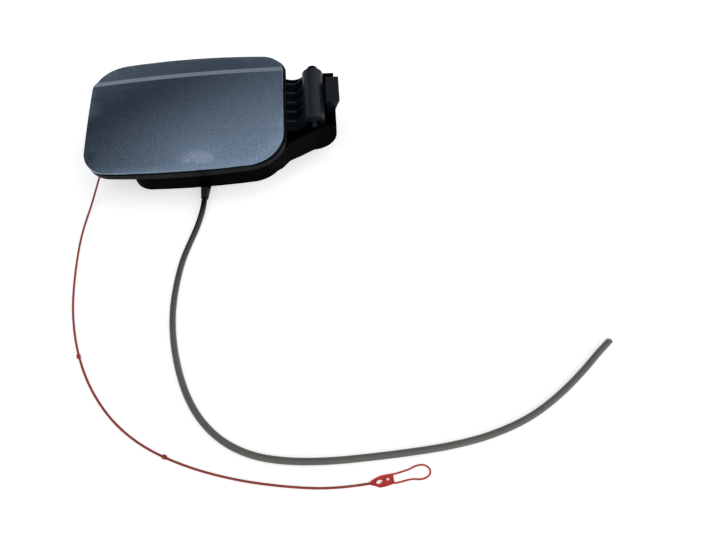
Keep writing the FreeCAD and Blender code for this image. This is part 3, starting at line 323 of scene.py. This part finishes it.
HOSE_CUT_SLANT = 1.1    # how far the cut at the hose's end leans back to face up
HOSE_CUT_BACK = 0.55    # how far the cut's middle lies before the end, in hose diameters
HOSE_PAINTED_SHADE_TO, HOSE_PAINTED_SHADE_END = 0.02, 0.20   # distances from the spout over which the painted shade beside it gives way to the grey
HOSE_PAINTED_SHADE_SHARE = 0.03     # share of the grey that is left in the painted shade beside the spout


class FLAP_OT_hose(bpy.types.Operator):
    """Drain hose: a soft tube from the spout's sleeve to its cut end"""
    bl_idname = "flap.hose"
    bl_label = "Drain hose"

    def execute(self, context):
        sizes = context.scene.flap_cords
        rubber = hose_finish(sizes)
        form = spline("hose_form", HOSE_ROUTE, 0, rubber, sides=6)
        path = [v.co.copy() for v in bpy.data.meshes.new_from_object(form).vertices]
        form.data.bevel_depth = sizes.hose_diameter / 2
        shape = bmesh.new()
        shape.from_mesh(bpy.data.meshes.new_from_object(form))
        bpy.data.objects.remove(form)
        ahead = (path[-1] - path[-2]).normalized()
        bmesh.ops.bisect_plane(shape, geom=shape.verts[:] + shape.edges[:] + shape.faces[:],
                               plane_co=path[-1] - ahead * sizes.hose_diameter * HOSE_CUT_BACK,
                               plane_no=ahead + Vector((0, 0, HOSE_CUT_SLANT)), clear_outer=True)
        data = bpy.data.meshes.new("hose_line")
        shape.to_mesh(data)
        shape.free()
        hose = linked("hose_line", data, rubber)
        data.materials.append(rubber_finish("hose_inside", tuple(sizes.hose_inside),
                                            roughness=0.6, bloom=1.3))
        wall = hose.modifiers.new("Wall", "SOLIDIFY")
        wall.thickness = sizes.hose_wall
        wall.offset = -1
        wall.material_offset = 1
        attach(hose, "root")
        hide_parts("drain_hose")
        return {"FINISHED"}


class FLAP_OT_release_cord(bpy.types.Operator):
    """Emergency release cord: the red line from the lock to its handle"""
    bl_idname = "flap.release_cord"
    bl_label = "Release cord"

    def execute(self, context):
        sizes = context.scene.flap_cords
        red = moulded_finish("cord_red", tuple(sizes.cord_red), roughness=0.45, grain=0.02)
        cord = spline("cord_line", CORD_ROUTE, sizes.cord_diameter / 2, red, sides=4)
        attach(cord, "root")
        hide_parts("release_cord")
        coat(["cord_beads"], red)
        return {"FINISHED"}


# The handle lies on the floor at the cord's end. Its forms are in mm, along it and across it.
HANDLE_TIP = Vector((0.1536, -0.3987, 0))
HANDLE_TURN = math.radians(7.9)
HANDLE_FRAME = (Matrix.Translation(HANDLE_TIP) @ Matrix.Rotation(HANDLE_TURN, 4, "Z")
                @ Matrix.Scale(MM, 4))
TAG_OUTLINE = ((0, 0.7), (2.4, 1.9), (4.95, 2.9), (9.4, 4.1), (14.6, 4.3), (19.8, 4.0),
               (20.35, 2.6), (19.9, -3.2), (19.0, -3.9), (17.9, -4.2), (13.7, -4.7), (8.1, -4.7),
               (5.1, -3.0), (2.4, -1.7), (0, -0.7))
TAG_EYE = ((5.8, -0.2), (6.8, 0.8), (8.3, 1.4), (9.9, 1.3), (11, 0.5), (10.6, -0.5), (9.2, -1.3),
           (7.4, -1.9), (6.2, -1.4))
TAG_HOLE, TAG_HOLE_RADIUS = (15.5, 0.4), 1.2
TAG_LOW, TAG_THICK = 0.2, 1.6
TAG_EDGE, TAG_SUNK = 0.7, 0.45      # width of the raised edge, and how far the middle lies below it
TAG_ROUND = 0.15
LOOP_ROUTE = ((19.4, 3.3), (23.8, 3.4), (29.7, 4.0), (33.5, 4.4), (38.0, 5.7), (42.0, 6.3),
              (46.0, 5.8), (49.0, 3.8), (50.5, 0.9), (50.0, -1.7), (47.9, -4.0), (43.9, -5.1),
              (40.5, -5.1), (35.6, -3.6), (31.6, -3.4), (26.6, -3.7), (22.7, -4.0), (19.2, -3.5))
LOOP_STRAND = 1.5


class FLAP_OT_handle(bpy.types.Operator):
    """Handle of the release cord: a flat tag with two holes and a long pull loop"""
    bl_idname = "flap.handle"
    bl_label = "Release handle"

    def execute(self, context):
        red = moulded_finish("handle_red", tuple(context.scene.flap_cords.handle_red),
                             roughness=0.35, grain=0.006)
        tag = linked("handle_tag", self.tag(), red)
        middle = TAG_LOW + TAG_THICK / 2
        route = [HANDLE_FRAME @ Vector((x, y, middle)) for x, y in LOOP_ROUTE]
        loop = spline("handle_loop", route, LOOP_STRAND / 2 * MM, red, sides=3)
        for piece in (tag, loop):
            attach(piece, "root")
        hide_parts("release_handle")
        return {"FINISHED"}

    def tag(self):
        """The tag's plate with its two holes and a raised edge, its sharp edges rounded."""
        shape = bmesh.new()
        for ring in (TAG_OUTLINE, TAG_EYE):
            corners = [shape.verts.new((x, y, TAG_LOW)) for x, y in ring]
            for corner, following in zip(corners, corners[1:] + corners[:1]):
                shape.edges.new((corner, following))
        bmesh.ops.create_circle(shape, segments=16, radius=TAG_HOLE_RADIUS,
                                matrix=Matrix.Translation((*TAG_HOLE, TAG_LOW)))
        bmesh.ops.triangle_fill(shape, use_beauty=True, edges=shape.edges[:])
        bmesh.ops.solidify(shape, geom=shape.faces[:], thickness=TAG_THICK)
        low = min(v.co.z for v in shape.verts)
        bmesh.ops.translate(shape, verts=shape.verts, vec=(0, 0, TAG_LOW - low))
        bmesh.ops.recalc_face_normals(shape, faces=shape.faces)
        top = [face for face in shape.faces if face.normal.z > 0.9]
        bmesh.ops.inset_region(shape, faces=top, thickness=TAG_EDGE, depth=-TAG_SUNK,
                               use_boundary=True, use_even_offset=True)
        sharp = [edge for edge in shape.edges
                 if len(edge.link_faces) == 2 and edge.calc_face_angle() > math.radians(35)]
        bmesh.ops.bevel(shape, geom=sharp, offset=TAG_ROUND, segments=2, profile=0.5,
                        affect="EDGES", material=-1, clamp_overlap=True)
        bmesh.ops.transform(shape, matrix=HANDLE_FRAME, verts=shape.verts)
        data = bpy.data.meshes.new("handle_tag")
        shape.to_mesh(data)
        shape.free()
        return data


# The plane of the flap's face, and the flap's edge in it, in metres.
FACE_MIDDLE = Vector((-0.015, -0.017, 0.062))
FACE_LEAN = math.radians(13)
FLAP_HALF = 0.105
TOP_HEIGHT = 0.089
TOP_BOW, TOP_BOW_MIDDLE = 1.4, 0.070    # radius of the bowed top edge, and where it is highest
CREASE_RISE = 0.064     # slope of the crease along the flap
CROWN = 1.5             # radius of the face along the flap
SOLID_CORNER, REAL_CORNER = 0.050, 0.036    # radius of the top left corner, in CAD and on the real flap
CORNER_HELD, CORNER_BLEND = 0.004, 0.010    # depth of edge that moves whole, and where the move dies out
FOLD_ANGLE = math.radians(9)


def left_edge(height, radius):
    """Where the flap's edge lies on the left at a height, with a top left corner of this radius."""
    bow_height = TOP_HEIGHT - TOP_BOW
    across = radius - FLAP_HALF
    up = bow_height + math.sqrt((TOP_BOW - radius) ** 2 - (across - TOP_BOW_MIDDLE) ** 2)
    if height <= up:
        return -FLAP_HALF
    if height < up + (up - bow_height) * radius / (TOP_BOW - radius):
        return across - math.sqrt(radius ** 2 - (height - up) ** 2)
    return TOP_BOW_MIDDLE - math.sqrt(max(0.0, TOP_BOW ** 2 - (height - bow_height) ** 2))


def fuller_corner(node_name, piece_name, material):
    """A copy of one of the flap's CAD nodes with its top left corner drawn out to the real radius.

    Each point near the corner slides left along the crease and falls with the face's crown.
    """
    shape = bmesh.new()
    shape.from_mesh(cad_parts[node_name].data)
    bmesh.ops.remove_doubles(shape, verts=shape.verts, dist=MERGED)
    face = Matrix.Translation(FACE_MIDDLE) @ Matrix.Rotation(FACE_LEAN, 4, "X")
    bmesh.ops.transform(shape, matrix=face.inverted(), verts=shape.verts)
    for vert in shape.verts:
        across, height, level = vert.co
        edge = left_edge(height, SOLID_CORNER)
        inside = (across - edge - CORNER_HELD) / CORNER_BLEND
        out = (edge - left_edge(height, REAL_CORNER)) * min(1.0, max(0.0, 1 - inside))
        fall = ((across - out) ** 2 - across ** 2) / (2 * CROWN)
        vert.co = across - out, height - CREASE_RISE * out, level - fall
    bmesh.ops.transform(shape, matrix=face, verts=shape.verts)
    data = bpy.data.meshes.new(piece_name)
    shape.to_mesh(data)
    shape.free()
    piece = linked(piece_name, data, material)
    crisp = piece.modifiers.new("Crisp folds", "EDGE_SPLIT")
    crisp.split_angle = FOLD_ANGLE
    crisp.use_edge_sharp = False
    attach(piece, "flap")
    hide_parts(node_name)
    return piece


class FLAP_OT_painted_skin(bpy.types.Operator):
    """Painted skin of the flap"""
    bl_idname = "flap.painted_skin"
    bl_label = "Painted skin"

    def execute(self, context):
        paint = paint_finish(context.scene.flap_finishes)
        skin = fuller_corner("flap_skin", "painted_skin", paint)
        return {"FINISHED"}


class FLAP_OT_mouldings(bpy.types.Operator):
    """Carrier, hinge, pot and lock mouldings, their seals and fasteners"""
    bl_idname = "flap.mouldings"
    bl_label = "Mouldings"

    def execute(self, context):
        sizes = context.scene.flap_finishes
        hinge_tint, steel_tint = tuple(sizes.hinge_black), tuple(sizes.steel)
        carrier = moulded_finish("carrier_plastic", tuple(sizes.carrier_black),
                                 roughness=0.5, grain=0.010, specular=0.07)
        hinge = moulded_finish("hinge_plastic", hinge_tint, roughness=0.36, grain=0.004, specular=0.28)
        pot = moulded_finish("pot_plastic", tuple(sizes.pot_black),
                             roughness=0.65, grain=0.012, specular=0.01)
        block = moulded_finish("detent_plastic", scaled(hinge_tint, 0.35),
                               roughness=0.42, grain=0.004, specular=0.22)
        seal = rubber_finish("seal_rubber", tuple(sizes.seal_black), roughness=0.7)
        steel = steel_finish("plated_steel", steel_tint)
        spring = steel_finish("spring_steel", scaled(steel_tint, 0.6), roughness=0.25)
        body = fuller_corner("flap_carrier", "carrier_body", carrier)
        for finish, names in (
                (carrier, ("cap_holder", "lock_housing", "lock_cover", "lock_motor", "lock_pin",
                           "latch_case", "latch_plunger")),
                (hinge, ("hinge_arm", "hinge_bushes", "hinge_pin")),
                (block, ("detent_housing",)),
                (pot, ("filler_pot",)),
                (seal, ("neck_collar", "rim_seal", "spout_sleeve", "pin_seal")),
                (steel, ("striker", "flap_screws", "lock_screws", "plug_pins")),
                (spring, ("detent_spring",))):
            coat(names, finish)
        edged = ("hinge_arm", "detent_housing", "filler_pot", "lock_housing", "lock_cover",
                 "latch_case", "cap_holder")
        soften([body] + [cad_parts[name] for name in edged], sizes.edge_round)
        return {"FINISHED"}


# Camera and light. The object and the photograph's view share one frame, in metres.
CAMERA_PLACE = Vector((0.1364, -0.5439, 0.4820))
CAMERA_AHEAD = Vector((0.0415, 0.5934, -0.8039))
CAMERA_UP = Vector((0.0561, 0.8019, 0.5948))
SENSOR = 36
FLOOR_HALF = 8
FLOOR_LEVEL = -0.3 * MM     # just under the object, so that their faces don't coincide
FLOOR_GLOW = 0.5            # what the camera and mirrors see of the floor beyond its own light
KEY_FROM, KEY_WIDTH = Vector((0.50, -0.62, 0.62)), 50
SPOT_FROM, SPOT_WIDTH = Vector((-0.190, 0.245, 0.95)), 5
# The sky's levels: by nearness to one direction, and by height above the horizon.
LIGHT_FROM = Vector((0.45, -0.45, 0.77))
LIGHT_LEVELS = ((0.25, 0.0), (0.52, 0.60), (0.70, 1.12), (0.86, 0.60), (1.0, 0.50))
BAND_LEVELS = ((0.0, 0.60), (0.30, 0.60), (0.71, 0.28), (0.80, 0.0))
FRONT_RIGHT = Vector((0.65, -0.75, 0.0))
BAND_BACK, BAND_FRONT = 0.9, 0.7    # the band's share towards the back left and the front right
BAND_TURN = 0.6                     # how near to those sides it reaches these shares
SKY_COLOUR = (0.97, 0.985, 1.0, 1)
TOP_LEVEL = 2


def sun(name, towards, strength, angle):
    """A lamp far away, as many degrees wide in the sky as its angle, shining from one direction."""
    data = bpy.data.lights.new(name, "SUN")
    data.energy = strength
    data.angle = math.radians(angle)
    lamp = bpy.data.objects.new(name, data)
    lamp.rotation_mode = "QUATERNION"
    lamp.rotation_quaternion = towards.to_track_quat("Z", "Y")
    lamp.location = towards.normalized() * 3
    bpy.context.scene.collection.objects.link(lamp)


class FLAP_OT_studio(bpy.types.Operator):
    """White floor, soft light and the camera"""
    bl_idname = "flap.studio"
    bl_label = "Studio"

    def execute(self, context):
        sizes = context.scene.flap_studio
        self.camera(context, sizes)
        self.floor(sizes)
        self.sky(context)
        sun("key_lamp", KEY_FROM, sizes.key_light, KEY_WIDTH)
        sun("round_lamp", SPOT_FROM, sizes.spot_light, SPOT_WIDTH)
        context.scene.view_settings.view_transform = "Standard"
        return {"FINISHED"}

    def camera(self, context, sizes):
        """The camera, at the photograph's place and angle."""
        data = bpy.data.cameras.new("camera")
        data.lens = sizes.lens
        data.sensor_width = SENSOR
        camera = bpy.data.objects.new("camera", data)
        across = CAMERA_AHEAD.cross(CAMERA_UP).normalized()
        up = across.cross(CAMERA_AHEAD).normalized()
        turn = Matrix((across, up, -CAMERA_AHEAD.normalized())).transposed()
        camera.matrix_world = Matrix.Translation(CAMERA_PLACE) @ turn.to_4x4()
        context.scene.collection.objects.link(camera)
        context.scene.camera = camera

    def floor(self, sizes):
        """The floor, white to the camera and in mirrors, and still taking the object's shadow."""
        material, tree, shader = shader_nodes("studio_floor")
        white = sizes.floor_white
        shader.inputs["Base Color"].default_value = (white, white, white, 1)
        shader.inputs["Roughness"].default_value = 0.95
        shader.inputs["Specular IOR Level"].default_value = 0.0
        shader.inputs["Emission Color"].default_value = (1, 1, 1, 1)
        path = node(tree, "ShaderNodeLightPath")
        total = path.outputs["Is Camera Ray"]
        for ray in ("Is Glossy Ray", "Is Transmission Ray"):
            total = self.joined(tree, "ADD", total, path.outputs[ray])
        lift = node(tree, "ShaderNodeMath", operation="MULTIPLY")
        lift.inputs[1].default_value = FLOOR_GLOW
        tree.links.new(total, lift.inputs[0])
        tree.links.new(lift.outputs[0], shader.inputs["Emission Strength"])
        shape = bmesh.new()
        bmesh.ops.create_grid(shape, x_segments=1, y_segments=1, size=FLOOR_HALF)
        bmesh.ops.translate(shape, verts=shape.verts, vec=(0, 0, FLOOR_LEVEL))
        data = bpy.data.meshes.new("floor")
        shape.to_mesh(data)
        shape.free()
        linked("floor", data, material)

    def sky(self, context):
        """A dim room with a wide soft light high in front on the right and a pale band all round."""
        world = bpy.data.worlds.new("studio")
        context.scene.world = world
        world.use_nodes = True
        tree = world.node_tree
        background = tree.nodes["Background"]
        way = node(tree, "ShaderNodeTexCoord").outputs["Generated"]
        wide = self.levels(tree, self.nearness(tree, way, LIGHT_FROM.normalized()), LIGHT_LEVELS)
        axes = node(tree, "ShaderNodeSeparateXYZ")
        tree.links.new(way, axes.inputs[0])
        height = self.levels(tree, axes.outputs["Z"], BAND_LEVELS)
        side = spread(tree, self.nearness(tree, way, FRONT_RIGHT), BAND_BACK, BAND_FRONT,
                      -BAND_TURN, BAND_TURN)
        band = self.joined(tree, "MULTIPLY", height, side)
        tree.links.new(self.joined(tree, "ADD", wide, band), background.inputs["Strength"])
        background.inputs["Color"].default_value = SKY_COLOUR

    def nearness(self, tree, way, towards):
        """How near each way in the sky is to one direction, from 1 down to -1."""
        product = node(tree, "ShaderNodeVectorMath", operation="DOT_PRODUCT")
        tree.links.new(way, product.inputs[0])
        product.inputs[1].default_value = towards
        return product.outputs["Value"]

    def joined(self, tree, operation, first, second):
        """Two values added or multiplied."""
        both = node(tree, "ShaderNodeMath", operation=operation)
        tree.links.new(first, both.inputs[0])
        tree.links.new(second, both.inputs[1])
        return both.outputs[0]

    def levels(self, tree, value, steps):
        """A level for each value, from a ramp with points (value, level) and straight runs between."""
        ramp = node(tree, "ShaderNodeValToRGB")
        points = ramp.color_ramp.elements
        while len(points) < len(steps):
            points.new(0.5)
        for point, (place, level) in zip(points, steps):
            point.position = place
            point.color = (level / TOP_LEVEL, level / TOP_LEVEL, level / TOP_LEVEL, 1)
        tree.links.new(value, ramp.inputs["Fac"])
        full = node(tree, "ShaderNodeMath", operation="MULTIPLY")
        full.inputs[1].default_value = TOP_LEVEL
        tree.links.new(ramp.outputs["Color"], full.inputs[0])
        return full.outputs[0]


OPERATORS = (FLAP_OT_studio, FLAP_OT_hose, FLAP_OT_handle, FLAP_OT_release_cord,
             FLAP_OT_painted_skin, FLAP_OT_mouldings)


class FLAP_PT_panel(bpy.types.Panel):
    """Lists the flap's pieces and their sizes"""
    bl_idname = "FLAP_PT_panel"
    bl_label = "Fuel filler flap"
    bl_space_type = "VIEW_3D"
    bl_region_type = "UI"
    bl_category = "Filler Flap"

    def draw(self, context):
        for operator in OPERATORS:
            self.layout.operator(operator.bl_idname)
        for group in GROUPS:
            sizes = getattr(context.scene, group)
            box = self.layout.box()
            for key in sizes.__annotations__:
                box.prop(sizes, key)


GROUPS = {"flap_finishes": FlapFinishes, "flap_cords": FlapCords, "flap_studio": FlapStudio}
CLASSES = (*GROUPS.values(), *OPERATORS, FLAP_PT_panel)


def register():
    for cls in CLASSES:
        bpy.utils.register_class(cls)
    for key, group in GROUPS.items():
        setattr(bpy.types.Scene, key, bpy.props.PointerProperty(type=group))


def unregister():
    for key in GROUPS:
        delattr(bpy.types.Scene, key)
    for cls in reversed(CLASSES):
        bpy.utils.unregister_class(cls)


def main():
    """Makes the whole scene."""
    register()
    for operator in OPERATORS:
        group, name = operator.bl_idname.split(".")
        getattr(getattr(bpy.ops, group), name)()


if __name__ == "__main__":
    main()
